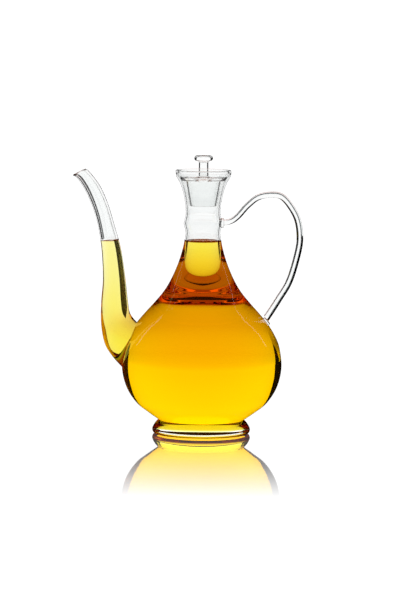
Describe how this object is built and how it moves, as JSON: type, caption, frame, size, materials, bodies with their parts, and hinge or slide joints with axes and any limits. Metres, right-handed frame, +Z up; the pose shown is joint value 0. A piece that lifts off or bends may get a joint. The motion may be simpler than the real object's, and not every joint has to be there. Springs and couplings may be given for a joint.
{
  "type": "glass oil bottle",
  "caption": "Clear blown-glass oil bottle on a hollow foot with a long curved spout, a thin rod handle, a flared mouth, a loose hollow stopper and a fill of yellow oil.",
  "frame": {"origin": "centre of the foot's flat bottom, on the bottle's axis", "axes": "+Z up along the bottle's axis, -X towards the spout, +X towards the handle"},
  "size_m": [0.1829, 0.127, 0.221],
  "materials": {
    "clear_glass": "polished",
    "stopper_glass": "polished",
    "oil": "gloss"
  },
  "bodies": {
    "bottle": {"foot": "clear_glass", "bulb": "clear_glass", "neck": "clear_glass", "neck_ring": "clear_glass", "mouth_funnel": "clear_glass", "spout": "clear_glass", "handle": "clear_glass", "handle_upper_pad": "clear_glass", "handle_lower_pad": "clear_glass", "oil": "oil"},
    "stopper": {"stopper_skirt": "stopper_glass", "stopper_disc": "stopper_glass", "stopper_stem": "stopper_glass", "stopper_knob": "stopper_glass"}
  },
  "joints": [
    {"name": "stopper_lift", "type": "slide", "parent": "bottle", "child": "stopper", "axis": [0, 0, 1], "range_m": [0, 0.04]}
  ]
}
